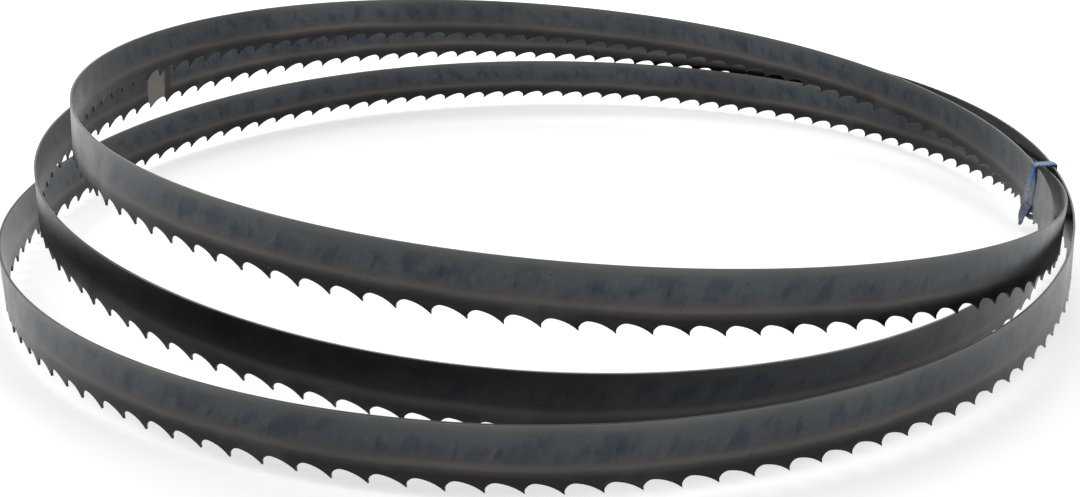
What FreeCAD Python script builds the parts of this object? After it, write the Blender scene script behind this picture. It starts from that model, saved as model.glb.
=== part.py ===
import FreeCAD, Part

import math
import os

from FreeCAD import Vector

# An endless band saw blade, folded into three loops and standing on its tooth tips.
#
# The blade is one strip of spring steel, welded end to end, with hook teeth along its lower edge.
# It is folded so that it passes round the coil three times before it closes. A strip of film
# holds the loops together at the right end (+X), and they fan apart at the left end (-X).
#
# The origin is on the table under the middle of the coil. +Z is up and -Y faces the viewer.
# A place along the blade is its distance along the tooth line from the front of the top loop,
# and it grows towards the left end.

# Blade, in millimetres and degrees
BAND_WIDTH = 16.0
BAND_THICKNESS = 0.65
TOOTH_PITCH = 25.4 / 3.0
TOOTH_COUNT = 354
TURNS = 3

# Tooth: the rake face rises from the tip to the gullet, and the back falls to the next tip
GULLET_DEPTH = 2.5
GULLET_REACH = 2.5
RAKE_HEIGHT = 0.9
HOOK_ANGLE = 5.0
GULLET_TURN = 80.0
GULLET_FLATS = 3
BACK_TURN = 34.0
BACK_FLATS = 2

# Coil: one row for each eighth of a turn of the band, as seen in the photograph. A row gives
# the reach of the tooth tips from the coil's axis as a share of the mean reach, their height
# as a share of the band's width, and the lean of the band towards the axis in degrees.
COIL_STATIONS = (
    (0.903, 1.70, 5),
    (0.884, 2.09, 4),
    (0.908, 2.29, 3),
    (0.942, 2.23, 4),
    (0.977, 1.78, 1),
    (1.009, 1.06, 1),
    (0.991, 0.32, -4),
    (0.922, 0.00, -7),
    (0.937, 0.18, 0),
    (0.943, 0.67, 1),
    (0.988, 1.11, 2),
    (1.027, 1.39, 5),
    (1.065, 1.16, 2),
    (1.123, 0.63, -3),
    (1.028, 0.38, 0),
    (1.039, 0.17, 5),
    (1.097, 0.13, 3),
    (1.067, 0.13, 2),
    (1.017, 0.01, -2),
    (1.023, 0.13, 9),
    (1.056, 0.14, 6),
    (1.087, 0.00, -4),
    (1.014, 0.31, -3),
    (0.963, 1.12, 2),
)
POINTS_PER_STATION = 4
PANEL_COUNT = 6
PANEL_SPANS = 16
SEAM_TOLERANCE = 0.001

# Film tie at the right end: a flat loop of stacked film, with one pointed end hanging down
TIE_TURN = 0.745
TIE_WIDTH = 8.0
TIE_THICKNESS = 0.35
TIE_CLEARANCE = 0.15
TIE_END_LENGTH = 4.5
TIE_END_WIDTH = 4.0

STATION_COUNT = len(COIL_STATIONS)
BLADE_LENGTH = TOOTH_COUNT * TOOTH_PITCH


def station_curve():
    """Smooth closed run of the station rows: x is the reach, y the height and z the lean."""
    rows = [Vector(*row) for row in COIL_STATIONS]
    curve = Part.BSplineCurve()
    curve.interpolate(Points=rows, Parameters=list(range(STATION_COUNT + 1)), PeriodicFlag=True)
    return curve


def tooth_line(stations, mean_reach):
    """Closed curve through the tooth tips, with its turns clockwise seen from above."""
    points = []
    for i in range(STATION_COUNT * POINTS_PER_STATION):
        row = stations.value(i / POINTS_PER_STATION)
        angle = math.radians(-90.0 - 360.0 * TURNS * i / (STATION_COUNT * POINTS_PER_STATION))
        reach = row.x * mean_reach
        points.append(Vector(reach * math.cos(angle), reach * math.sin(angle), row.y * BAND_WIDTH))
    curve = Part.BSplineCurve()
    curve.interpolate(Points=points, Parameters=list(range(len(points) + 1)), PeriodicFlag=True)
    return curve


def fitted_tooth_line(stations):
    """Tooth line that is as long as the blade, so that it holds a whole number of teeth."""
    mean_reach = BLADE_LENGTH / (2.0 * math.pi * TURNS)
    for _ in range(4):
        mean_reach *= BLADE_LENGTH / tooth_line(stations, mean_reach).length()
    return tooth_line(stations, mean_reach)


class Coil:
    """The band's middle surface: a tooth line, and at each place the way across the band."""

    def __init__(self):
        self.stations = station_curve()
        self.line = fitted_tooth_line(self.stations)
        self.length = self.line.length()

    def across(self, parameter):
        """Unit vectors from the teeth to the back edge, and outwards through the thickness."""
        along = self.line.tangent(parameter)[0]
        outwards = Vector(0, 0, 1).cross(along).normalize()
        upright = outwards.cross(along) * -1.0
        lean = math.radians(self.stations.value(parameter / POINTS_PER_STATION).z)
        rise = upright * math.cos(lean) - outwards * math.sin(lean)
        return rise, rise.cross(along)

    def parameter(self, place):
        """Curve parameter of a place along the blade."""
        return self.line.parameterAtDistance(place % self.length, 0.0)

    def point(self, place, height, offset):
        """Point at a place, a height above the tips and an offset from the middle surface."""
        parameter = self.parameter(place)
        rise, outwards = self.across(parameter)
        return self.line.value(parameter) + rise * height + outwards * offset


def arc_points(start, end, turn, flats):
    """Points of an arc from start to end, after the first; it bulges to the left of its chord."""
    chord = (end[0] - start[0], end[1] - start[1])
    length = math.hypot(*chord)
    radius = length / (2.0 * math.sin(turn / 2.0))
    sagitta = radius * (1.0 - math.cos(turn / 2.0))
    heading = math.atan2(chord[1], chord[0])
    points = []
    for i in range(1, flats + 1):
        swing = turn * (i / flats - 0.5)
        forward = length / 2.0 + radius * math.sin(swing)
        sideways = sagitta - radius * (1.0 - math.cos(swing))
        points.append((
            start[0] + forward * math.cos(heading) - sideways * math.sin(heading),
            start[1] + forward * math.sin(heading) + sideways * math.cos(heading),
        ))
    return points


def tooth_outline():
    """One tooth in the flat, from the deepest point of its gullet round to the next gullet."""
    tip = (0.0, 0.0)
    gullet = (-GULLET_REACH, GULLET_DEPTH)
    rake_top = (RAKE_HEIGHT * math.tan(math.radians(HOOK_ANGLE)), RAKE_HEIGHT)
    next_gullet = (TOOTH_PITCH - GULLET_REACH, GULLET_DEPTH)
    outline = [gullet]
    outline += arc_points(gullet, rake_top, math.radians(GULLET_TURN), GULLET_FLATS)
    outline.append(tip)
    outline += arc_points(tip, next_gullet, math.radians(BACK_TURN), BACK_FLATS)
    return outline


def rim_curve(coil, places, height, offset):
    """Curve along the band at one height, with the place along the blade as its parameter."""
    curve = Part.BSplineCurve()
    curve.interpolate(
        Points=[coil.point(place, height, offset) for place in places],
        Parameters=places,
    )
    return curve


def broad_surface(coil, start, end, offset):
    """One broad face of the band over a stretch, with the flat pattern as its parameters."""
    places = [start + (end - start) * i / PANEL_SPANS for i in range(PANEL_SPANS + 1)]
    low = rim_curve(coil, places, 0.0, offset)
    high = rim_curve(coil, places, BAND_WIDTH, offset)
    surface = Part.BSplineSurface()
    surface.buildFromPolesMultsKnots(
        [[below, above] for below, above in zip(low.getPoles(), high.getPoles())],
        low.getMultiplicities(),
        [2, 2],
        low.getKnots(),
        [0.0, BAND_WIDTH],
        False,
        False,
        3,
        1,
    )
    return surface


def drawn_edges(surface, outline):
    """Edges on a surface through the points of a flat outline."""
    edges = []
    for start, end in zip(outline, outline[1:]):
        line = Part.Geom2d.Line2dSegment(FreeCAD.Base.Vector2d(*start), FreeCAD.Base.Vector2d(*end))
        edges.append(line.toShape(surface))
    return edges


def panel_outlines(first_tooth, tooth_count):
    """Toothed edge and back edge, in the flat, of a stretch of whole teeth."""
    outline = tooth_outline()
    toothed = [(outline[0][0] + first_tooth * TOOTH_PITCH, outline[0][1])]
    for tooth in range(first_tooth, first_tooth + tooth_count):
        toothed += [(x + tooth * TOOTH_PITCH, y) for x, y in outline[1:]]
    back = [(toothed[-1][0], BAND_WIDTH), (toothed[0][0], BAND_WIDTH)]
    return toothed, back


def panel_faces(coil, first_tooth, tooth_count):
    """Both broad faces of a stretch, and the narrow faces between their long edges."""
    toothed, back = panel_outlines(first_tooth, tooth_count)
    faces = []
    long_edges = []
    for offset in (BAND_THICKNESS / 2.0, -BAND_THICKNESS / 2.0):
        surface = broad_surface(coil, toothed[0][0], toothed[-1][0], offset)
        tooth_edges = drawn_edges(surface, toothed)
        back_edges = drawn_edges(surface, back)
        end_edges = drawn_edges(surface, [toothed[-1], back[0]])
        start_edges = drawn_edges(surface, [back[1], toothed[0]])
        face = Part.Face(surface, Part.Wire(tooth_edges + end_edges + back_edges + start_edges))
        face.validate()
        faces.append(face)
        long_edges.append(tooth_edges + back_edges)
    faces += [Part.makeRuledSurface(outer, inner) for outer, inner in zip(*long_edges)]
    return faces


def toothed_band(coil):
    """The whole blade: stretches of whole teeth, sewn into one closed solid."""
    bounds = [round(TOOTH_COUNT * i / PANEL_COUNT) for i in range(PANEL_COUNT + 1)]
    faces = []
    for first, last in zip(bounds, bounds[1:]):
        faces += panel_faces(coil, first, last - first)
    shell = Part.Compound(faces)
    shell.sewShape(SEAM_TOLERANCE)
    solid = Part.Solid(shell.Shells[0])
    if solid.Volume < 0.0:
        solid.reverse()
    return solid


def turn_direction(fraction):
    """Unit vector from the coil's axis towards a fraction of a turn from its front."""
    angle = math.radians(-90.0 - 360.0 * fraction)
    return Vector(math.cos(angle), math.sin(angle), 0)


def place_at_turn(coil, turn):
    """Place along the blade where the tooth line has gone round by a number of turns."""
    outwards = turn_direction(turn)
    sideways = Vector(0, 0, 1).cross(outwards)
    low = (turn - 0.05) * coil.length / TURNS
    high = (turn + 0.05) * coil.length / TURNS
    for _ in range(30):
        middle = (low + high) / 2.0
        if coil.point(middle, 0.0, 0.0).dot(sideways) > 0.0:
            low = middle
        else:
            high = middle
    return (low + high) / 2.0


def hull(points):
    """Corners of the convex hull of flat points, anticlockwise."""
    corners = []
    for ordered in (sorted(points), sorted(points, reverse=True)):
        side = []
        for point in ordered:
            while len(side) > 1 and turns_right(side[-2], side[-1], point):
                side.pop()
            side.append(point)
        corners += side[:-1]
    return corners


def turns_right(first, second, third):
    """True unless the way through three flat points bends to the left."""
    ahead = (second[0] - first[0], second[1] - first[1])
    beyond = (third[0] - second[0], third[1] - second[1])
    return ahead[0] * beyond[1] - ahead[1] * beyond[0] <= 0.0


def film_tie(coil):
    """Loop of film wound flat round all the turns of the band, and its hanging end."""
    outwards = turn_direction(TIE_TURN)
    along = Vector(0, 0, 1).cross(outwards)
    corners = []
    for turn in range(TURNS):
        place = place_at_turn(coil, turn + TIE_TURN)
        for step in range(-8, 9):
            for height in (0.0, BAND_WIDTH):
                for offset in (-BAND_THICKNESS / 2.0, BAND_THICKNESS / 2.0):
                    point = coil.point(place + step * TIE_WIDTH / 10.0, height, offset)
                    if abs(point.dot(along)) < 0.6 * TIE_WIDTH:
                        corners.append((point.dot(outwards), point.z))
    edge = along * (-TIE_WIDTH / 2.0)
    section = [outwards * x + Vector(0, 0, z) + edge for x, z in hull(corners)]
    strands = Part.Wire(Part.makePolygon(section + section[:1]))
    inside = Part.Wire(strands.makeOffset2D(TIE_CLEARANCE).Edges)
    outside = Part.Wire(strands.makeOffset2D(TIE_CLEARANCE + TIE_THICKNESS).Edges)
    ring = Part.Face(outside).cut(Part.Face(inside))
    loop = ring.extrude(along * TIE_WIDTH)
    reach, top = min(hull(corners))
    root = outwards * (reach - TIE_CLEARANCE - TIE_THICKNESS) + Vector(0, 0, top + 1.0)
    point = Vector(0, 0, -1.0 - TIE_END_LENGTH)
    half = along * (TIE_END_WIDTH / 2.0)
    end = Part.Face(Part.makePolygon([root - half, root + half, root + half * 0.4 + point, root - half]))
    return loop.fuse(end.extrude(outwards * TIE_THICKNESS)).removeSplitter().Solids[0]


def main():
    os.makedirs("parts", exist_ok=True)
    coil = Coil()
    pieces = {"blade": toothed_band(coil), "film_tie": film_tie(coil)}
    box = pieces["blade"].optimalBoundingBox(False, False)
    to_table = Vector(-box.Center.x, -box.Center.y, -box.ZMin)
    for name, piece in pieces.items():
        piece.translate(to_table)
        piece.exportStep("parts/" + name + ".step")
        size = piece.BoundBox
        print(name, piece.isValid(), len(piece.Solids), round(piece.Volume, 1))
        print("  x", round(size.XMin, 2), round(size.XMax, 2), "y", round(size.YMin, 2), round(size.YMax, 2))
        print("  z", round(size.ZMin, 3), round(size.ZMax, 2))


if __name__ == "__main__":
    main()
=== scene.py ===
"""Dresses a coiled band saw blade: tempered steel, ground hook teeth and a wrap of blue film."""

import math

import bmesh
import bpy
import numpy as np
from bpy.props import FloatProperty, FloatVectorProperty, IntProperty, PointerProperty
from mathutils import Matrix, Vector
from mathutils.geometry import convex_hull_2d


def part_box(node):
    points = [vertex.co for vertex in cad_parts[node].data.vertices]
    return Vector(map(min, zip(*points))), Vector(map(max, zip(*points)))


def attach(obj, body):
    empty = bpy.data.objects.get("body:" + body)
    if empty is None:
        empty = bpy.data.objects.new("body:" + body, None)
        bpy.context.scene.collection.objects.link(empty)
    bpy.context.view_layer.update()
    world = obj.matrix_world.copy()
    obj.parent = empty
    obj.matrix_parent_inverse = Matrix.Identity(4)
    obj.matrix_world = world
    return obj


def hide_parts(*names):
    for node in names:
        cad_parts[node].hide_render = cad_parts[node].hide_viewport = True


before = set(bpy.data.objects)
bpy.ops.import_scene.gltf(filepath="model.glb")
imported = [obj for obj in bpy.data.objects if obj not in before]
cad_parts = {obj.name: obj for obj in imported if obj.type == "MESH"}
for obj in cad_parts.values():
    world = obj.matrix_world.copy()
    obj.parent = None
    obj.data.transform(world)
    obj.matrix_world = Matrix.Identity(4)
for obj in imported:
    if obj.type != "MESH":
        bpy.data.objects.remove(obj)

bl_info = {
    "name": "Coiled band saw blade",
    "version": (1, 0, 0),
    "blender": (4, 5, 0),
    "location": "View3D > Sidebar > Saw Blade",
    "description": "Builds a folded band saw blade with its film tie, on a pale table",
    "category": "Add Mesh",
}

# One row for each eighth of a turn of the band: reach of the tooth tips as a share of the
# mean reach, height of the tips as a share of the band's width, and lean in degrees.
COIL_STATIONS = (
    (0.903, 1.70, 5),
    (0.884, 2.09, 4),
    (0.908, 2.29, 3),
    (0.942, 2.23, 4),
    (0.977, 1.78, 1),
    (1.009, 1.06, 1),
    (0.991, 0.32, -4),
    (0.922, 0.00, -7),
    (0.937, 0.18, 0),
    (0.943, 0.67, 1),
    (0.988, 1.11, 2),
    (1.027, 1.39, 5),
    (1.065, 1.16, 2),
    (1.123, 0.63, -3),
    (1.028, 0.38, 0),
    (1.039, 0.17, 5),
    (1.097, 0.13, 3),
    (1.067, 0.13, 2),
    (1.017, 0.01, -2),
    (1.023, 0.13, 9),
    (1.056, 0.14, 6),
    (1.087, 0.00, -4),
    (1.014, 0.31, -3),
    (0.963, 1.12, 2),
)
TURNS = 3
POINTS_PER_STATION = 4

# How finely the tooth line is measured, and how often it is scaled to reach its length
STEPS_PER_POINT = 200
SCALING_ROUNDS = 6

# Where the weld and the middle of the stretch of painted shade are, in teeth along the band from
# the front of its top turn, and where the tie is, in turns
WELD_TOOTH = 148.36
SHADED_STRETCH_TOOTH = 124.0
TIE_TURN = 0.745

# Arcs of a tooth: how far each turns in degrees, and its number of flats
GULLET_TURN = 80.0
BACK_TURN = 34.0
FLATS = 5

# Rings of points on the band's faces: metres above the toothed edge, then shares of the way
# from there to the back edge. Columns of points are evenly spaced from EVEN_HEIGHT up, as a
# share of the width, and stand back there by COLUMN_SHIFT of a pitch.
EDGE_RINGS = (0.0011, 0.0026)
FACE_RINGS = (0.42, 0.72)
EVEN_HEIGHT = 0.4
COLUMN_SHIFT = 0.04

# The set of the teeth: it runs out at a height, and is greatest a little past each tip
SET_HEIGHT = 0.0042
SET_MIDDLE = 0.0006
SET_SIDES = (0.0, 1.0, -1.0)
SHARP_ANGLE = 32.0

# The band laid out for textures: short lengths side by side, in rows
TEETH_PER_CELL = 6
CELLS_ACROSS = 6
CELL_MARGIN = 0.02

# Temper colours and marks on the steel, besides those in its settings
LOW_STRAW = (0.045, 0.042, 0.042)
HIGH_STRAW = (0.062, 0.061, 0.061)
SLATE = (0.053, 0.058, 0.063)
BLUE_GREY = (0.070, 0.075, 0.077)
SMOKE_BLUE = (0.026, 0.036, 0.048)
INK_BLUE = (0.012, 0.020, 0.038)
VIOLET = (0.072, 0.052, 0.062)
HAZE = (0.078, 0.088, 0.092)
ROLLED_GREY = (0.100, 0.101, 0.100)
CLOUD_GREY = (0.092, 0.094, 0.094)
# Painted shade: darker stretches along the band, standing in for shade and dark reflections
PAINTED_SHADE = (0.022, 0.023, 0.026)
# Painted shade: a dark stretch of the band above its tooth line, near the front of the second turn
STRETCH_SHADE = (0.011, 0.011, 0.012)
PIT = (0.014, 0.013, 0.014)
SPECK = (0.24, 0.24, 0.24)
WELD_MARGIN = (0.036, 0.027, 0.022)
# Painted highlight: a lit rim along the back edge
RIM_HIGHLIGHT = (0.15, 0.15, 0.15)
BACK_EDGE = (0.070, 0.070, 0.069)
STAIN = (0.035, 0.033, 0.034)

# The film: points along a loop and strips across it, directions that its way is worked out in,
# height of its ripples in metres, how far its edges fray as a share of its width, and the
# length of each strip's map and the step to the next one
LOOP_POINTS = 150
LOOP_STRIPS = 12
WAY_ANGLES = 720
RIPPLE = 0.00010
FRAY = 0.16
MAP_LENGTH = 9.0
MAP_GAP = 3.7
# Painted highlight on the film's creases
CREASE_HIGHLIGHT = (0.62, 0.66, 0.76)

# The stage: lamps with their place, aim, size and share of the power, light levels, and the
# camera's place in metres with its turns in degrees
WHITE = (1.0, 1.0, 1.0, 1.0)
TABLE_HALF = 3.0
TABLE_GLOW = 0.42
PLAIN_LIGHT = 0.55
LAMPS = (
    ("lamp_back", (0.05, 0.75, 0.62), (0.0, 0.05, 0.03), (0.9, 0.4), 1.0),
    ("lamp_left", (-0.85, -0.05, 0.45), (0.0, 0.0, 0.03), (0.5, 0.5), 0.5),
    ("lamp_right", (0.75, -0.45, 0.60), (0.05, 0.0, 0.03), (0.4, 0.4), 0.35),
)
CAMERA_PLACE = (-0.0001, -0.4450, 0.1578)
CAMERA_HEADING = 0.27
CAMERA_DIP = 20.13
CAMERA_ROLL = 0.38


def colour(name, description, red, green, blue):
    return FloatVectorProperty(
        name=name,
        description=description,
        subtype="COLOR",
        size=3,
        min=0.0,
        max=1.0,
        default=(red, green, blue),
    )


def length(name, description, metres):
    return FloatProperty(
        name=name, description=description, default=metres, unit="LENGTH", precision=5
    )


class BladeSettings(bpy.types.PropertyGroup):
    """Sizes and colours of the toothed band."""

    band_width: length("Band width", "From the tooth tips to the back edge", 0.016)
    thickness: length("Thickness", "Of the steel strip", 0.00065)
    pitch: length("Tooth pitch", "From one tooth tip to the next", 0.0254 / 3)
    teeth: IntProperty(name="Teeth", description="Round the whole blade", default=354, min=90)
    gullet_depth: length("Gullet depth", "From the tips to the bottom of a gullet", 0.0025)
    gullet_reach: length("Gullet reach", "From a tip to the deepest point of its gullet", 0.0025)
    rake_height: length("Rake height", "Straight part of the hooked face", 0.0009)
    tooth_set: length("Tooth set", "How far the tips of set teeth stand out sideways", 0.00022)
    hook: FloatProperty(
        name="Hook", description="Angle of the rake face", default=math.radians(5), subtype="ANGLE"
    )
    bevel: length("Edge break", "Width of the worn corners", 0.00009)
    tooth: colour("Tooth line", "Hardened steel below the straw line", 0.022, 0.021, 0.022)
    straw: colour("Temper straw", "Straw line above the gullets", 0.080, 0.073, 0.068)
    blue: colour("Temper blue", "Blue band of the tempered middle", 0.055, 0.065, 0.074)
    back: colour("Back", "Grey of the soft back", 0.102, 0.103, 0.101)
    ground: colour("Ground steel", "Ground tooth faces", 0.066, 0.066, 0.068)
    weld: colour("Weld", "Cleaned steel at the butt weld", 0.170, 0.155, 0.140)


class FilmSettings(bpy.types.PropertyGroup):
    """Sizes and colours of the film tie."""

    width: length("Film width", "Of the wound strip", 0.0075)
    film: colour("Film", "Blue of the film at the top of the wrap", 0.005, 0.085, 0.240)
    thin: colour("Thin film", "Where a single layer lies over the steel", 0.210, 0.235, 0.310)
    deep: colour("Creased film", "Blue where several layers lie together", 0.002, 0.022, 0.075)


class StageSettings(bpy.types.PropertyGroup):
    """Table, lamps and camera."""

    table: colour("Table", "Of the surface under the blade", 0.80, 0.80, 0.80)
    lamp: FloatProperty(
        name="Lamps", description="Power of the main soft lamp", default=5.0, min=0.0, unit="POWER"
    )
    focal_length: FloatProperty(
        name="Focal length", description="Of the camera", default=48.8, min=1.0, unit="CAMERA"
    )


# The band's shape


def periodic_slopes(rows):
    """Slopes of the smooth closed curve through evenly spaced rows."""
    count = len(rows)
    system = np.zeros((count, count))
    for i in range(count):
        system[i, i] = 4.0
        system[i, (i + 1) % count] = 1.0
        system[i, (i - 1) % count] = 1.0
    return np.linalg.solve(system, 3.0 * (np.roll(rows, -1, 0) - np.roll(rows, 1, 0)))


class ClosedCurve:
    """Smooth closed curve through rows of numbers, one row for each whole parameter."""

    def __init__(self, rows):
        self.rows = np.asarray(rows, float)
        self.slopes = periodic_slopes(self.rows)

    def spans(self, parameters):
        """Share of the way along each parameter's span, and the span's two rows and slopes."""
        parameters = np.asarray(parameters, float) % len(self.rows)
        start = np.floor(parameters).astype(int) % len(self.rows)
        end = (start + 1) % len(self.rows)
        t = (parameters - np.floor(parameters))[:, None]
        return t, self.rows[start], self.rows[end], self.slopes[start], self.slopes[end]

    def value(self, parameters):
        t, a, b, da, db = self.spans(parameters)
        s = 1 - t
        return a * s * s * (1 + 2 * t) + b * t * t * (3 - 2 * t) + da * t * s * s - db * t * t * s

    def slope(self, parameters):
        t, a, b, da, db = self.spans(parameters)
        return 6 * t * (1 - t) * (b - a) + da * (1 - t) * (1 - 3 * t) + db * t * (3 * t - 2)


class Coil:
    """The band's middle surface in metres: places run along it, heights across it."""

    def __init__(self, blade):
        self.length = blade.teeth * blade.pitch
        self.stations = ClosedCurve(COIL_STATIONS)
        count = len(COIL_STATIONS) * POINTS_PER_STATION
        rows = self.stations.value(np.arange(count) / POINTS_PER_STATION)
        angles = np.radians(-90.0 - 360.0 * TURNS * np.arange(count) / count)
        around = np.stack([np.cos(angles), np.sin(angles)], -1) * rows[:, :1]
        heights = rows[:, 1:2] * blade.band_width
        mean_reach = self.length / (2.0 * math.pi * TURNS)
        for _ in range(SCALING_ROUNDS):
            self.line = ClosedCurve(np.hstack([around * mean_reach, heights]))
            self.steps = np.linspace(0.0, count, STEPS_PER_POINT * count + 1)
            points = self.line.value(self.steps)
            run = np.linalg.norm(np.diff(points, axis=0), axis=1)
            self.places = np.concatenate([[0.0], np.cumsum(run)])
            mean_reach *= self.length / self.places[-1]
        self.shift = np.zeros(3)

    def points(self, places, heights, offsets):
        """Points of the band; the three arrays have the same length."""
        parameters = np.interp(np.asarray(places) % self.length, self.places, self.steps)
        along = self.line.slope(parameters)
        along /= np.linalg.norm(along, axis=1)[:, None]
        outwards = np.cross([0.0, 0.0, 1.0], along)
        outwards /= np.linalg.norm(outwards, axis=1)[:, None]
        upright = np.cross(along, outwards)
        lean = np.radians(self.stations.value(parameters / POINTS_PER_STATION)[:, 2:3])
        rise = upright * np.cos(lean) - outwards * np.sin(lean)
        through = np.cross(rise, along)
        line = self.line.value(parameters) + self.shift
        return line + rise * np.asarray(heights)[:, None] + through * np.asarray(offsets)[:, None]


def arc_points(start, end, turn, flats):
    """Points of an arc from start to end, after the first; it bulges to the left of its chord."""
    across = (end[0] - start[0], end[1] - start[1])
    chord = math.hypot(*across)
    radius = chord / (2.0 * math.sin(turn / 2.0))
    sagitta = radius * (1.0 - math.cos(turn / 2.0))
    heading = math.atan2(across[1], across[0])
    points = []
    for i in range(1, flats + 1):
        swing = turn * (i / flats - 0.5)
        forward = chord / 2.0 + radius * math.sin(swing)
        sideways = sagitta - radius * (1.0 - math.cos(swing))
        points.append((
            start[0] + forward * math.cos(heading) - sideways * math.sin(heading),
            start[1] + forward * math.sin(heading) + sideways * math.cos(heading),
        ))
    return points


def tooth_outline(blade):
    """One tooth in the flat, from the deepest point of its gullet up to the next one."""
    gullet = (-blade.gullet_reach, blade.gullet_depth)
    rake_top = (blade.rake_height * math.tan(blade.hook), blade.rake_height)
    tip = (0.0, 0.0)
    next_gullet = (blade.pitch - blade.gullet_reach, blade.gullet_depth)
    outline = [gullet]
    outline += arc_points(gullet, rake_top, math.radians(GULLET_TURN), FLATS)
    outline.append(tip)
    outline += arc_points(tip, next_gullet, math.radians(BACK_TURN), FLATS)
    return np.array(outline[:-1])


def band_section(blade):
    """Rings round the band's section, up one face and down the other.

    Each has a rise in metres, a share of the way from the toothed edge to the back edge, and an
    offset through the steel.
    """
    half = blade.thickness / 2.0
    cut = blade.bevel
    face = [(0.0, 0.0, half - cut), (cut, 0.0, half)]
    face += [(rise, 0.0, half) for rise in EDGE_RINGS]
    face += [(0.0, share, half) for share in FACE_RINGS]
    face += [(-cut, 1.0, half), (0.0, 1.0, half - cut)]
    return face + [(rise, share, -offset) for rise, share, offset in reversed(face)]


def flat_grid(blade):
    """Place, height and offset of every point of the band: one row for each ring.

    The first column is at the weld, so that the maps' seam is there.
    """
    outline = tooth_outline(blade)
    per_tooth = len(outline)
    columns = per_tooth * blade.teeth
    tooth = np.repeat(int(WELD_TOOTH) + np.arange(blade.teeth), per_tooth)
    edge = np.tile(outline, (blade.teeth, 1))
    even = (np.arange(per_tooth) + 0.5) / per_tooth * blade.pitch
    even = even - blade.gullet_reach - blade.pitch * COLUMN_SHIFT
    top = np.tile(even, blade.teeth)
    side = np.array(SET_SIDES)[tooth % len(SET_SIDES)]
    past_tip = np.abs(edge[:, 0] - SET_MIDDLE) / (0.5 * blade.pitch)
    near_tip = np.clip(1.0 - past_tip, 0.0, 1.0)
    places, heights, offsets = [], [], []
    for rise, share, offset in band_section(blade):
        height = edge[:, 1] + rise + (blade.band_width - edge[:, 1]) * share
        if share >= 1.0:
            height = np.full(columns, blade.band_width + rise)
        level = np.clip((height - edge[:, 1]) / (EVEN_HEIGHT * blade.band_width), 0.0, 1.0)
        blend = level * level * (3.0 - 2.0 * level)
        place = edge[:, 0] * (1.0 - blend) + top * blend
        low = np.clip(1.0 - height / SET_HEIGHT, 0.0, 1.0) ** 2
        places.append(place + tooth * blade.pitch)
        heights.append(height)
        offsets.append(offset + side * low * near_tip * blade.tooth_set)
    return np.array(places), np.array(heights), np.array(offsets)


def placed_coil(blade):
    """The coil, moved to where the solid blade lies on the table."""
    coil = Coil(blade)
    places, heights, offsets = flat_grid(blade)
    points = coil.points(places.ravel(), heights.ravel(), offsets.ravel())
    low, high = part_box("blade")
    middle = (points.min(0) + points.max(0)) / 2.0
    sideways = [(low[i] + high[i]) / 2.0 - middle[i] for i in range(2)]
    coil.shift = np.array([*sideways, -points[:, 2].min()])
    return coil


# Meshes


def ring_faces(columns, rings):
    """Quads of a closed tube of rings, as corner numbers, column by column."""
    column = np.arange(columns)[:, None] * rings
    after = (np.arange(columns)[:, None] + 1) % columns * rings
    ring = np.arange(rings)[None, :]
    above = (ring + 1) % rings
    corners = [column + ring, after + ring, after + above, column + above]
    return np.stack(corners, -1).reshape(-1, 4)


def quads_mesh(name, points, faces):
    mesh = bpy.data.meshes.new(name)
    mesh.vertices.add(len(points))
    mesh.vertices.foreach_set("co", np.asarray(points, np.float32).ravel())
    mesh.loops.add(faces.size)
    mesh.loops.foreach_set("vertex_index", faces.astype(np.int32).ravel())
    mesh.polygons.add(len(faces))
    mesh.polygons.foreach_set("loop_start", np.arange(0, faces.size, 4, dtype=np.int32))
    mesh.polygons.foreach_set("use_smooth", np.ones(len(faces), bool))
    mesh.update(calc_edges=True)
    return mesh


def at_corners(values, closing):
    """Values at each face's four corners; the first column comes again, with closing added."""
    columns, rings = values.shape
    values = np.vstack([values, values[:1] + closing])
    here, after = np.arange(columns)[:, None], np.arange(1, columns + 1)[:, None]
    ring = np.arange(rings)[None, :]
    above = (ring + 1) % rings
    corners = [values[here, ring], values[after, ring], values[after, above], values[here, above]]
    return np.stack(corners, -1)


def cell_map(blade, points):
    """Map of the band without overlaps, for baked textures: cells of a few teeth, in rows."""
    columns, rings = points.shape[:2]
    per_cell = TEETH_PER_CELL * columns // blade.teeth
    cell, column = np.divmod(np.arange(columns), per_cell)
    rows = cell[-1] // CELLS_ACROSS + 1
    steps = np.linalg.norm(np.roll(points, -1, 1) - points, axis=2).mean(0)
    rise = np.concatenate([[0.0], np.cumsum(steps)]) / steps.sum()
    across = np.stack([column, column + 1, column + 1, column], -1)[:, None] / per_cell
    up = np.stack([rise[:-1], rise[:-1], rise[1:], rise[1:]], -1)[None]
    inside = 1.0 - 2.0 * CELL_MARGIN
    row, place = np.divmod(cell[:, None, None], CELLS_ACROSS)
    u = (place + CELL_MARGIN + across * inside) / CELLS_ACROSS
    v = (row + CELL_MARGIN + up * inside) / rows
    return np.stack(np.broadcast_arrays(u, v), -1).reshape(-1, 2)


def add_map(mesh, name, corners):
    layer = mesh.uv_layers.new(name=name)
    layer.uv.foreach_set("vector", np.asarray(corners, np.float32).ravel())


def new_piece(name, mesh, replaced):
    piece = bpy.data.objects.new(name, mesh)
    bpy.context.scene.collection.objects.link(piece)
    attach(piece, "root")
    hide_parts(replaced)
    return piece


# Finishes


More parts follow.
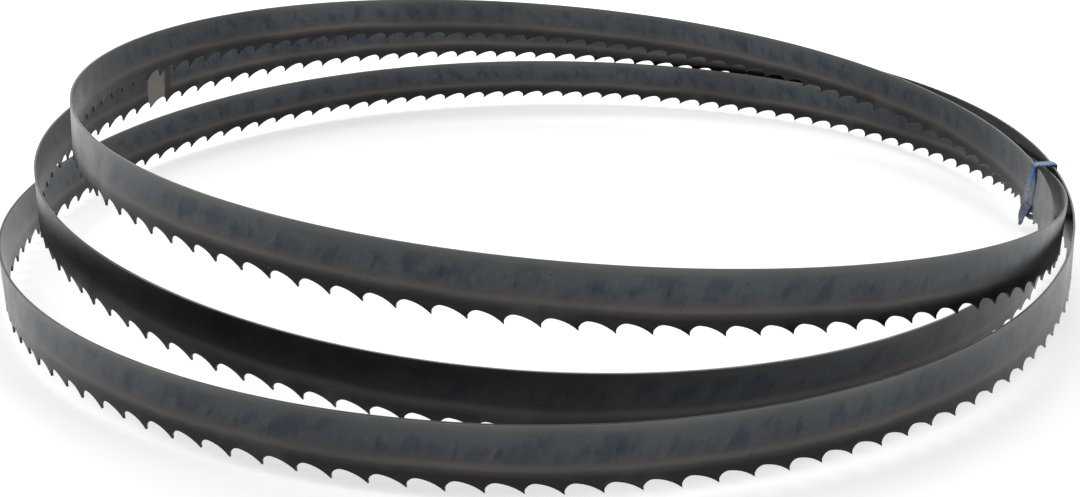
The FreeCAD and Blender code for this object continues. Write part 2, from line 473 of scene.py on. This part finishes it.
class Wire:
    """A value in a finish's node tree, which sums and products can be written with."""

    def __init__(self, finish, socket):
        self.finish = finish
        self.socket = socket

    def maths(self, operation, *values):
        """A Math node on the values, in their order."""
        return self.finish.node("ShaderNodeMath", {"operation": operation}, dict(enumerate(values)))

    def __add__(self, other):
        return self.maths("ADD", self, other)

    def __radd__(self, other):
        return self.maths("ADD", other, self)

    def __sub__(self, other):
        return self.maths("SUBTRACT", self, other)

    def __rsub__(self, other):
        return self.maths("SUBTRACT", other, self)

    def __mul__(self, other):
        return self.maths("MULTIPLY", self, other)

    def __rmul__(self, other):
        return self.maths("MULTIPLY", other, self)

    def __pow__(self, other):
        return self.maths("POWER", self, other)

    def __rpow__(self, other):
        return self.maths("POWER", other, self)

    def __abs__(self):
        return self.maths("ABSOLUTE", self)

    def most(self, other):
        return self.maths("MAXIMUM", self, other)

    def fraction(self):
        return self.maths("FRACT", self)

    def waves(self):
        """One smooth wave between -1 and 1 for each whole number."""
        return self.maths("SINE", self * (2.0 * math.pi))

    def between(self, low, high):
        """0 up to low, 1 from high on, and a smooth step from one to the other."""
        settings = {"interpolation_type": "SMOOTHSTEP"}
        sockets = {"Value": self, "From Min": low, "From Max": high}
        return self.finish.node("ShaderNodeMapRange", settings, sockets)

    def near(self, middle, width):
        """1 at the middle, falling to 0 at a distance of width."""
        return 1.0 - abs(self - middle).between(0.0, width)

    def output(self, name):
        """Another output of the node that this value comes from."""
        return Wire(self.finish, self.socket.node.outputs[name])


class Finish:
    """The nodes of a material or a world, and the one way of adding to them."""

    def __init__(self, owner):
        owner.use_nodes = True
        self.owner = owner
        self.tree = owner.node_tree
        self.tree.nodes.clear()

    def node(self, kind, settings=None, sockets=None, output=0):
        """Adds a node: its settings first, then the values or links of its sockets."""
        made = self.tree.nodes.new(kind)
        settings = dict(settings or {})
        stops = settings.pop("stops", ())
        for name, value in settings.items():
            setattr(made, name, value)
        if stops:
            ramp = made.color_ramp
            while len(ramp.elements) < len(stops):
                ramp.elements.new(0.5)
            for element, (position, stop) in zip(ramp.elements, stops):
                element.position = position
                element.color = (*stop, 1.0)
        for name, value in (sockets or {}).items():
            socket = made.inputs[name]
            if isinstance(value, Wire):
                self.tree.links.new(value.socket, socket)
            else:
                socket.default_value = value
        return Wire(self, made.outputs[output]) if made.outputs else None

    def mix(self, factor, first, second):
        """Colour between two colours."""
        first, second = (c if isinstance(c, Wire) else (*c, 1.0) for c in (first, second))
        sockets = {0: factor, 6: first, 7: second}
        return self.node("ShaderNodeMix", {"data_type": "RGBA"}, sockets, 2)

    def flat(self, name):
        """The two coordinates of a map."""
        coordinates = self.node("ShaderNodeUVMap", {"uv_map": name})
        first = self.node("ShaderNodeSeparateXYZ", {}, {0: coordinates})
        return first, first.output("Y")

    def body(self, output="Object"):
        """Where a point of the piece is: in metres, or Generated for shares of its box."""
        return self.node("ShaderNodeTexCoord", {}, {}, output)

    def vector(self, x, y):
        return self.node("ShaderNodeCombineXYZ", {}, {0: x, 1: y})

    def noise(self, where, scale, detail, roughness, distortion=0.0):
        sockets = {
            "Vector": where,
            "Scale": scale,
            "Detail": detail,
            "Roughness": roughness,
            "Distortion": distortion,
        }
        return self.node("ShaderNodeTexNoise", {}, sockets)

    def bump(self, height, strength, distance):
        sockets = {"Height": height, "Strength": strength, "Distance": distance}
        return self.node("ShaderNodeBump", {}, sockets)

    def principled(self, sockets):
        """The finished material, with a Principled shader of these sockets."""
        return self.surface(self.node("ShaderNodeBsdfPrincipled", {}, sockets))

    def surface(self, shader):
        self.node("ShaderNodeOutputMaterial", {}, {"Surface": shader})
        return self.owner


def tempered_steel(blade):
    """Dark steel with bands of temper colour along it, smudges, rolling marks and the weld, with
    painted shade along stretches of the band and a painted highlight on the back rim.
    """
    finish = Finish(bpy.data.materials.new("tempered_steel"))
    place, height = finish.flat("flat_band")
    body = finish.body()

    # Clouds and marks
    cloud = finish.noise(body, 46.0, 4.0, 0.6)
    drift = finish.noise(finish.vector(place * 0.33, height * 0.5), 1.0, 3.0, 0.6) - 0.5
    streaks = finish.noise(finish.vector(place * 0.8, height * 80.0), 1.0, 4.0, 0.65)
    fine = finish.noise(finish.vector(place * 3.0, height * 260.0), 1.0, 2.0, 0.7)
    leaning = finish.vector(place * 1.30 + height * 0.9, height * 1.7)
    smudge = finish.noise(leaning, 1.0, 4.0, 0.60, 0.35)
    specks = finish.noise(body, 1500.0, 2.0, 0.6).between(0.72, 0.80)
    pits = finish.noise(body, 620.0, 3.0, 0.6).between(0.66, 0.75)
    wide = finish.noise(finish.vector(place * 0.09, 0.0), 1.0, 2.0, 0.5)

    # Temper bands, from the tooth tips up to the back edge
    level = height + drift * 0.13
    bands = (
        (0.00, blade.tooth),
        (0.23, blade.tooth),
        (0.31, LOW_STRAW),
        (0.36, blade.straw),
        (0.40, blade.straw),
        (0.46, HIGH_STRAW),
        (0.57, SLATE),
        (0.72, blade.blue),
        (0.88, BLUE_GREY),
        (0.98, blade.back),
    )
    colour = finish.node("ShaderNodeValToRGB", {"stops": bands}, {"Fac": level})

    # Patches of the blue middle, which come round with every tooth
    slanted = place + level * 0.35 + drift * 0.8
    beat = (slanted.fraction() ** 1.5) * (slanted.waves() * 0.25 + 0.75)
    middle = level.near(0.63, 0.23)
    blotch = middle * beat * (0.30 + 0.70 * smudge.between(0.40, 0.62))
    patchy = level.between(0.40, 0.50) * (1.0 - level.between(0.80, 0.94))
    patchy = patchy * smudge.between(0.50, 0.60)
    violet = level.near(0.49, 0.07) * wide.between(0.40, 0.62)
    pale = smudge.near(0.44, 0.05) * middle
    colour = finish.mix(patchy * 0.45, colour, SMOKE_BLUE)
    colour = finish.mix(blotch * 0.72, colour, INK_BLUE)
    colour = finish.mix(violet * 0.35, colour, VIOLET)
    colour = finish.mix(pale * 0.30, colour, HAZE)

    # Rolling marks, clouds, pits, specks, broad stretches of painted shade and a darker stretch of
    # painted shade. The map's places start at the weld and run all the way round, so that stretch
    # comes a whole blade later.
    painted_shade_stretch = place.near(blade.teeth + SHADED_STRETCH_TOOTH, 40.0) * level.between(0.22, 0.50)
    colour = finish.mix(streaks.between(0.55, 0.78) * 0.28, colour, ROLLED_GREY)
    # Painted shade: broad stretches along the band are darkened in place of shade and dark
    # reflections
    colour = finish.mix((1.0 - wide.between(0.34, 0.58)) * 0.38, colour, PAINTED_SHADE)
    colour = finish.mix(cloud.between(0.52, 0.72) * 0.25, colour, CLOUD_GREY)
    colour = finish.mix(painted_shade_stretch * 0.85, colour, STRETCH_SHADE)
    colour = finish.mix(pits * 0.55, colour, PIT)
    colour = finish.mix(specks * 0.45, colour, SPECK)

    # The weld, and a painted highlight along the rim by the back edge
    from_weld = place - WELD_TOOTH
    patch = 1.0 - abs(from_weld).between(0.50, 0.58)
    colour = finish.mix(from_weld.near(0.80, 0.34) * 0.8, colour, WELD_MARGIN)
    colour = finish.mix(patch * 0.9, colour, blade.weld)
    colour = finish.mix(height.between(0.974, 0.992) * 0.5, colour, RIM_HIGHLIGHT)

    rough = 0.33 + (cloud - 0.5) * 0.28 + (streaks - 0.5) * 0.16
    rough = rough + (smudge - 0.5) * 0.14 + patch * 0.12
    relief = streaks * 0.5 + fine * 0.5 - pits * 0.8
    return finish.principled({
        "Base Color": colour,
        "Metallic": 0.94,
        "Roughness": rough,
        "Normal": finish.bump(relief, 0.20, 0.00006),
    })


def ground_edge(blade):
    """Narrow faces: the ground gullets and rake faces, and the worn back edge."""
    finish = Finish(bpy.data.materials.new("ground_edge"))
    place, height = finish.flat("flat_band")
    marks = finish.noise(finish.vector(place * 46.0, height * 3.0), 1.0, 2.0, 0.6)
    stain = finish.noise(finish.body(), 120.0, 3.0, 0.6)
    colour = finish.mix(height.between(0.60, 0.70), blade.ground, BACK_EDGE)
    colour = finish.mix(stain.between(0.42, 0.66) * 0.7, colour, STAIN)
    return finish.principled({
        "Base Color": colour,
        "Metallic": 0.95,
        "Roughness": 0.30 + marks * 0.20,
        "Normal": finish.bump(marks, 0.25, 0.00005),
    })


def blue_film(film):
    """Thin translucent film: blue where its layers lie together, pale where it is one layer, with
    painted highlights on its creases.
    """
    finish = Finish(bpy.data.materials.new("blue_film"))
    rise = finish.node("ShaderNodeSeparateXYZ", {}, {0: finish.body("Generated")}, "Z")
    along, across = finish.flat("film_strip")
    folds = finish.noise(finish.vector(along * 3.0, across * 1.6), 1.0, 3.0, 0.6, 0.8)
    crease = finish.noise(finish.body(), 460.0, 3.0, 0.6, 0.5)
    top = (rise + (folds - 0.5) * 0.35).between(0.62, 0.80)
    foot = 1.0 - (rise + (folds - 0.5) * 0.20).between(0.30, 0.42)
    colour = finish.mix(folds.between(0.46, 0.66) * 0.5, film.thin, film.film)
    # Painted highlight: whitish colour on the creases
    colour = finish.mix(crease.between(0.58, 0.70) * 0.5, colour, CREASE_HIGHLIGHT)
    colour = finish.mix(top * 0.92, colour, film.film)
    colour = finish.mix(foot * 0.95, colour, film.deep)
    return finish.principled({
        "Base Color": colour,
        "Roughness": 0.30 + crease * 0.20,
        "Alpha": 0.46 + top.most(foot) * 0.50,
        "Specular IOR Level": 0.35,
        "Normal": finish.bump(crease * 0.6 + folds * 0.4, 0.55, 0.0006),
    })


# The film's shape


class FilmRoute:
    """Upright section through the strands at the tie, and the corners the film goes round."""

    def __init__(self, coil, blade, film):
        angle = math.radians(-90.0 - 360.0 * TIE_TURN)
        self.origin = coil.shift.copy()
        self.outwards = np.array([math.cos(angle), math.sin(angle), 0.0])
        self.up = np.array([0.0, 0.0, 1.0])
        self.along = np.cross(self.up, self.outwards)
        nearby = np.linspace(-0.05, 0.05, 401)
        found = []
        for turn in range(TURNS):
            places = (turn + TIE_TURN) * coil.length / TURNS + nearby * coil.length / TURNS
            for height in (0.0, blade.band_width):
                for offset in (-0.5 * blade.thickness, 0.5 * blade.thickness):
                    across = np.full(len(places), height), np.full(len(places), offset)
                    points = coil.points(places, *across) - self.origin
                    close = points[np.abs(points @ self.along) < film.width * 0.6]
                    found += [Vector((point @ self.outwards, point[2])) for point in close]
        self.corners = [found[i] for i in convex_hull_2d(found)]

    def point(self, reach, height, sideways):
        """Point of the film, from its reach, its height and how far it lies along the band."""
        return self.origin + self.outwards * reach + self.up * height + self.along * sideways


def rounded_way(corners, clearance, count):
    """Evenly spaced points on a rounded way round a convex outline, at a clearance from it."""
    centre = sum(corners, Vector((0.0, 0.0))) / len(corners)
    way = []
    for angle in np.linspace(0.0, 2.0 * math.pi, WAY_ANGLES + 1)[:-1]:
        normal = Vector((math.cos(angle), math.sin(angle)))
        best = max(corners, key=lambda corner: (corner - centre).dot(normal))
        way.append(best + normal * clearance)
    way = np.array(way + way[:1])
    runs = np.concatenate([[0.0], np.cumsum(np.linalg.norm(np.diff(way, axis=0), axis=1))])
    wanted = np.linspace(0.0, runs[-1], count + 1)[:-1]
    return np.stack([np.interp(wanted, runs, way[:, i]) for i in range(2)], -1)


def film_loop(route, clearance, shift, slant, width, gather, seed):
    """Points of one closed turn of crumpled film, gathered into a narrow band at the top."""
    path = rounded_way(route.corners, clearance, LOOP_POINTS)
    rise = (path[:, 1] - path[:, 1].min()) / np.ptp(path[:, 1])
    widths = width * (1.0 - gather * np.clip((rise - 0.55) / 0.35, 0.0, 1.0))
    normal = path - path.mean(0)
    normal /= np.linalg.norm(normal, axis=1)[:, None]
    rng = np.random.default_rng(seed)
    turn = np.arange(LOOP_POINTS) / LOOP_POINTS * 2.0 * math.pi
    across = np.linspace(-1.0, 1.0, LOOP_STRIPS + 1)
    ripples = np.zeros((LOOP_POINTS, LOOP_STRIPS + 1))
    frays = np.zeros((LOOP_POINTS, 2))
    for wave in range(2, 22):
        phase, tilt = rng.uniform(0, 2 * math.pi), rng.uniform(-2.0, 2.0)
        ripple = np.sin(wave * turn[:, None] + phase + tilt * across)
        ripples += ripple * rng.uniform(0.2, 1.0) / wave**0.6
        for side in range(2):
            frays[:, side] += np.sin(wave * turn + rng.uniform(0, 6.28)) / wave
    ripples = np.abs(ripples) * RIPPLE
    points = np.zeros((LOOP_POINTS, LOOP_STRIPS + 1, 3))
    for i, share in enumerate(across / 2.0):
        fray = frays[:, 0 if share < 0 else 1] * abs(share) * widths * FRAY
        sideways = widths * share + shift + slant * np.cos(turn) + fray
        flat = path + normal * ripples[:, i : i + 1]
        points[:, i] = route.point(flat[:, :1], flat[:, 1:], sideways[:, None])
    return points


def film_end(route, width):
    """Points of the loose end, which hangs over the inner strand and narrows to a point."""
    inner = min(route.corners, key=lambda corner: (round(corner.x, 5), corner.y))
    drops, strips = 13, 6
    points = np.zeros((drops + 1, strips + 1, 3))
    for i in range(drops + 1):
        drop = i / drops
        narrowed = width * (1.05 * (1.0 - drop) ** 0.45 + 0.02)
        for j in range(strips + 1):
            sideways = (j / strips - 0.5) * narrowed + 0.0012 * drop
            ripple = 0.00012 * math.sin(9.0 * drop + 3.0 * j)
            reach = inner.x - 0.00032 - 0.0008 * drop + ripple
            height = inner.y + 0.0040 - 0.0080 * drop
            points[i, j] = route.point(reach, height, sideways)
    return points


def strip_mesh(name, grids):
    """Mesh of several strips of points, with a map that runs along and across each one."""
    points, faces, corners = [], [], []
    for number, (grid, closed) in enumerate(grids):
        count, row = grid.shape[:2]
        first = sum(len(p) for p in points)
        points.append(grid.reshape(-1, 3))
        du, dv = MAP_LENGTH / count, 1.0 / (row - 1)
        for i in range(count if closed else count - 1):
            here, after = first + i * row, first + (i + 1) % count * row
            for j in range(row - 1):
                faces.append([here + j, after + j, after + j + 1, here + j + 1])
                u, v = i * du + number * MAP_GAP, j * dv
                corners += [(u, v), (u + du, v), (u + du, v + dv), (u, v + dv)]
    mesh = quads_mesh(name, np.vstack(points), np.array(faces))
    add_map(mesh, "film_strip", corners)
    return mesh


# Pieces and stage


class SAWBLADE_OT_toothed_band(bpy.types.Operator):
    """Builds the toothed band from its stations, with set teeth, worn corners and its finish"""

    bl_idname = "saw_blade.toothed_band"
    bl_label = "Toothed Band"
    bl_options = {"REGISTER", "UNDO"}

    def execute(self, context):
        blade = context.scene.saw_blade
        coil = placed_coil(blade)
        places, heights, offsets = (values.T for values in flat_grid(blade))
        columns, rings = places.shape
        points = coil.points(places.ravel(), heights.ravel(), offsets.ravel())
        mesh = quads_mesh("toothed_band", points, ring_faces(columns, rings))

        corner_places = at_corners(places, coil.length) / blade.pitch
        corner_heights = at_corners(heights, 0.0) / blade.band_width
        flat = np.stack([corner_places, corner_heights], -1)
        add_map(mesh, "flat_band", flat.reshape(-1, 2))
        add_map(mesh, "OFBake", cell_map(blade, points.reshape(columns, rings, 3)))

        # The edges and their worn corners are ground steel, and the two faces are tempered
        half = rings // 2
        narrow = [0, half - 2, half - 1, half, rings - 2, rings - 1]
        ground = np.isin(np.arange(rings), narrow).astype(np.int32)
        mesh.polygons.foreach_set("material_index", np.tile(ground, columns))
        mesh.set_sharp_from_angle(angle=math.radians(SHARP_ANGLE))
        mesh.materials.append(tempered_steel(blade))
        mesh.materials.append(ground_edge(blade))
        new_piece("toothed_band", mesh, "blade")
        return {"FINISHED"}


class SAWBLADE_OT_film_tie(bpy.types.Operator):
    """Winds the strip of film round the strands and leaves its end hanging"""

    bl_idname = "saw_blade.film_tie"
    bl_label = "Film Tie"
    bl_options = {"REGISTER", "UNDO"}

    def execute(self, context):
        blade, film = context.scene.saw_blade, context.scene.saw_film
        route = FilmRoute(placed_coil(blade), blade, film)
        mesh = strip_mesh("film_tie_wrap", [
            (film_loop(route, 0.00018, 0.0, 0.0004, film.width, 0.45, 3), True),
            (film_loop(route, 0.00036, 0.0008, -0.0008, film.width * 0.55, 0.25, 8), True),
            (film_end(route, film.width), False),
        ])
        mesh.materials.append(blue_film(film))
        new_piece("film_tie_wrap", mesh, "film_tie")
        return {"FINISHED"}


class SAWBLADE_OT_stage(bpy.types.Operator):
    """Sets the pale table, the soft lamps, the world and the camera"""

    bl_idname = "saw_blade.stage"
    bl_label = "Stage"
    bl_options = {"REGISTER", "UNDO"}

    def execute(self, context):
        stage = context.scene.saw_stage
        self.table(context, stage)
        self.lamps(context, stage)
        self.world(context)
        self.camera(context, stage)
        context.scene.view_settings.view_transform = "Standard"
        return {"FINISHED"}

    def table(self, context, stage):
        """Matt table that keeps the shadow, and is paler to the camera and in reflections."""
        mesh = bpy.data.meshes.new("table")
        made = bmesh.new()
        bmesh.ops.create_grid(made, x_segments=8, y_segments=8, size=TABLE_HALF)
        made.to_mesh(mesh)
        made.free()
        table = bpy.data.objects.new("table", mesh)
        context.scene.collection.objects.link(table)
        finish = Finish(bpy.data.materials.new("table"))
        camera_ray = finish.node("ShaderNodeLightPath", {}, {}, "Is Camera Ray")
        seen = camera_ray.most(camera_ray.output("Is Glossy Ray"))
        matt = finish.node("ShaderNodeBsdfDiffuse", {}, {"Color": (*stage.table, 1.0)})
        glow = finish.node("ShaderNodeEmission", {}, {"Color": WHITE, "Strength": TABLE_GLOW})
        paler = finish.node("ShaderNodeAddShader", {}, {0: matt, 1: glow})
        shader = finish.node("ShaderNodeMixShader", {}, {0: seen, 1: matt, 2: paler})
        mesh.materials.append(finish.surface(shader))

    def lamps(self, context, stage):
        """Large soft boxes: one high behind, one at the left and a weak one in front."""
        for name, place, aim, size, share in LAMPS:
            lamp = bpy.data.lights.new(name, "AREA")
            lamp.shape = "RECTANGLE"
            lamp.size, lamp.size_y = size
            lamp.energy = stage.lamp * share
            holder = bpy.data.objects.new(name, lamp)
            holder.location = place
            facing = Vector(aim) - Vector(place)
            holder.rotation_euler = facing.to_track_quat("-Z", "Y").to_euler()
            context.scene.collection.objects.link(holder)

    def world(self, context):
        """Plain light all round, seen as white by the camera and in reflections."""
        world = bpy.data.worlds.new("studio")
        finish = Finish(world)
        camera_ray = finish.node("ShaderNodeLightPath", {}, {}, "Is Camera Ray")
        seen = camera_ray.most(camera_ray.output("Is Glossy Ray"))
        seen = seen.most(camera_ray.output("Is Transmission Ray"))
        plain = finish.node("ShaderNodeBackground", {}, {"Color": WHITE, "Strength": PLAIN_LIGHT})
        white = finish.node("ShaderNodeBackground", {}, {"Color": WHITE, "Strength": 1.0})
        both = finish.node("ShaderNodeMixShader", {}, {0: seen, 1: plain, 2: white})
        finish.node("ShaderNodeOutputWorld", {}, {"Surface": both})
        context.scene.world = world

    def camera(self, context, stage):
        data = bpy.data.cameras.new("view")
        data.lens = stage.focal_length
        data.sensor_width = 36.0
        data.clip_start = 0.01
        camera = bpy.data.objects.new("view", data)
        turn = Matrix.Rotation(math.radians(CAMERA_HEADING), 3, "Z")
        turn = turn @ Matrix.Rotation(math.radians(90.0 - CAMERA_DIP), 3, "X")
        turn = turn @ Matrix.Rotation(math.radians(CAMERA_ROLL), 3, "Z")
        camera.matrix_world = Matrix.Translation(CAMERA_PLACE) @ turn.to_4x4()
        context.scene.collection.objects.link(camera)
        context.scene.camera = camera


class SAWBLADE_PT_pieces(bpy.types.Panel):
    """Sizes, colours and the buttons that build the pieces"""

    bl_label = "Saw Blade"
    bl_idname = "SAWBLADE_PT_pieces"
    bl_space_type = "VIEW_3D"
    bl_region_type = "UI"
    bl_category = "Saw Blade"

    def draw(self, context):
        scene = context.scene
        for settings, operator in (
            (scene.saw_blade, SAWBLADE_OT_toothed_band),
            (scene.saw_film, SAWBLADE_OT_film_tie),
            (scene.saw_stage, SAWBLADE_OT_stage),
        ):
            box = self.layout.box()
            for name in settings.__annotations__:
                box.prop(settings, name)
            box.operator(operator.bl_idname)


CLASSES = (
    BladeSettings,
    FilmSettings,
    StageSettings,
    SAWBLADE_OT_toothed_band,
    SAWBLADE_OT_film_tie,
    SAWBLADE_OT_stage,
    SAWBLADE_PT_pieces,
)


def register():
    for made in CLASSES:
        bpy.utils.register_class(made)
    bpy.types.Scene.saw_blade = PointerProperty(type=BladeSettings)
    bpy.types.Scene.saw_film = PointerProperty(type=FilmSettings)
    bpy.types.Scene.saw_stage = PointerProperty(type=StageSettings)


def unregister():
    del bpy.types.Scene.saw_stage
    del bpy.types.Scene.saw_film
    del bpy.types.Scene.saw_blade
    for made in reversed(CLASSES):
        bpy.utils.unregister_class(made)


def main():
    register()
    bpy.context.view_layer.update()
    bpy.ops.saw_blade.toothed_band()
    bpy.ops.saw_blade.film_tie()
    bpy.ops.saw_blade.stage()
    bpy.context.view_layer.update()


if __name__ == "__main__":
    main()
